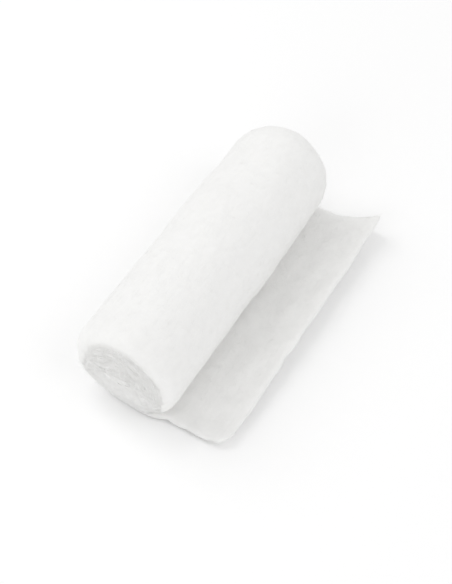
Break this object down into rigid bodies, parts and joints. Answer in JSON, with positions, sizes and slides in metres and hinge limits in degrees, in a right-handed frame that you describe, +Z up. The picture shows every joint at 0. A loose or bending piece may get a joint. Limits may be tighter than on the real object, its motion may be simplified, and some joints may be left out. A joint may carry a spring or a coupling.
{
  "type": "cast padding roll",
  "caption": "Strip of soft white non-woven cast padding wound into a coreless roll on its side, its loose end lying out beside it and curling up at the free edge.",
  "frame": {"origin": "on the surface that the roll rests on, on its flat underside, below the middle of the roll", "axes": "+X along the roll from its near, open face to its far face, the loose end towards -Y, +Z up"},
  "size_m": [0.1566, 0.0812, 0.052],
  "materials": {
    "padding": "matte, soft, slightly fuzzy white non-woven fibre"
  },
  "bodies": {
    "root": {"padding_strip": "padding"}
  },
  "joints": []
}
